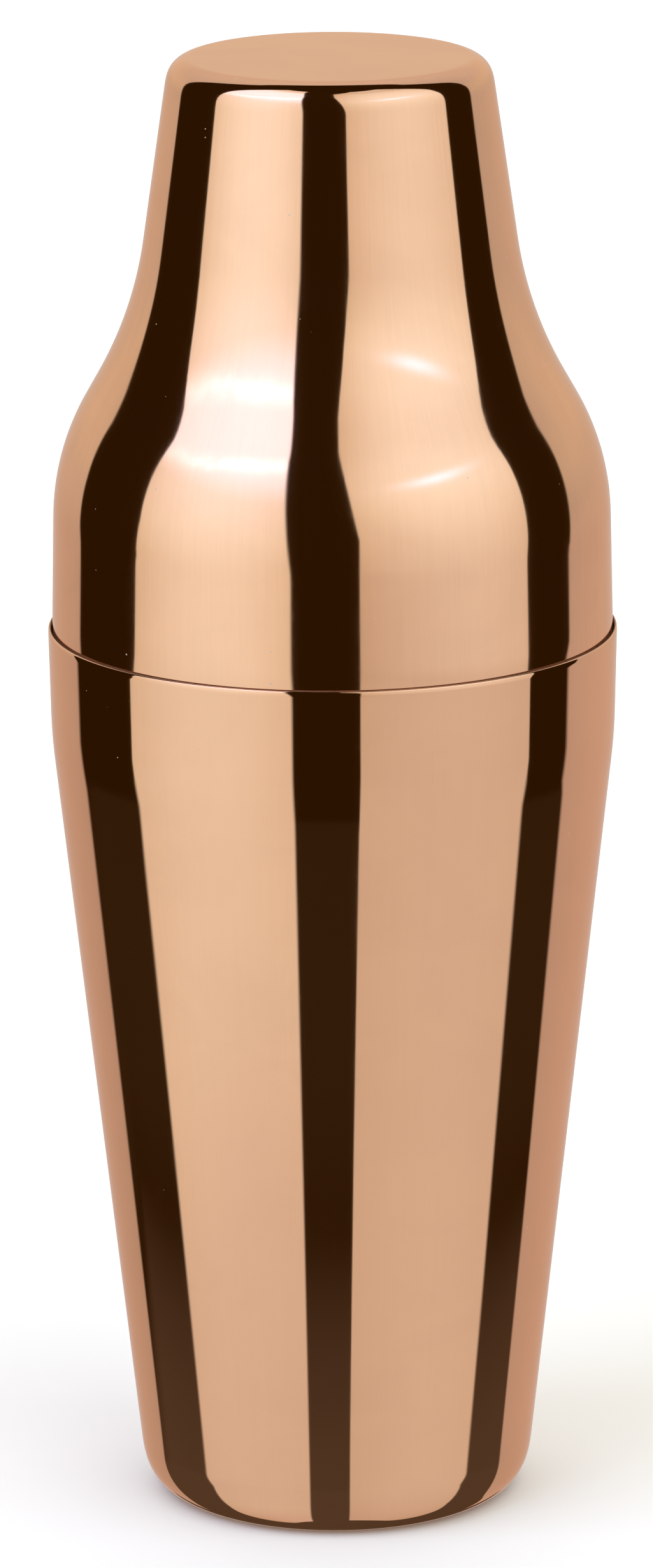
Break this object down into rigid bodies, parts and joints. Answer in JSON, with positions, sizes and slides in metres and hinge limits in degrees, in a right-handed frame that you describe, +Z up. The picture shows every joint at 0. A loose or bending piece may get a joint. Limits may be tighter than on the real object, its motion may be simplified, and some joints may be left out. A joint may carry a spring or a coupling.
{
  "type": "cocktail shaker",
  "caption": "Two-piece French cocktail shaker: a tapered mixing tin and a bell-shaped cap that plugs into its mouth, in polished copper-plated steel.",
  "frame": {"origin": "centre of the ring that the tin stands on, at the surface it stands on", "axes": "+Z up along the shaker's axis, from the base of the tin to the top of the cap; +X and +Y are equivalent, because the shaker is round"},
  "size_m": [0.09, 0.09, 0.2332],
  "materials": {
    "polished_copper": "polished"
  },
  "bodies": {
    "tin": {"tin": "polished_copper"},
    "cap": {"cap": "polished_copper"}
  },
  "joints": [
    {"name": "cap_lift", "type": "slide", "parent": "tin", "child": "cap", "axis": [0, 0, 1], "range_m": [0, 0.04]}
  ]
}
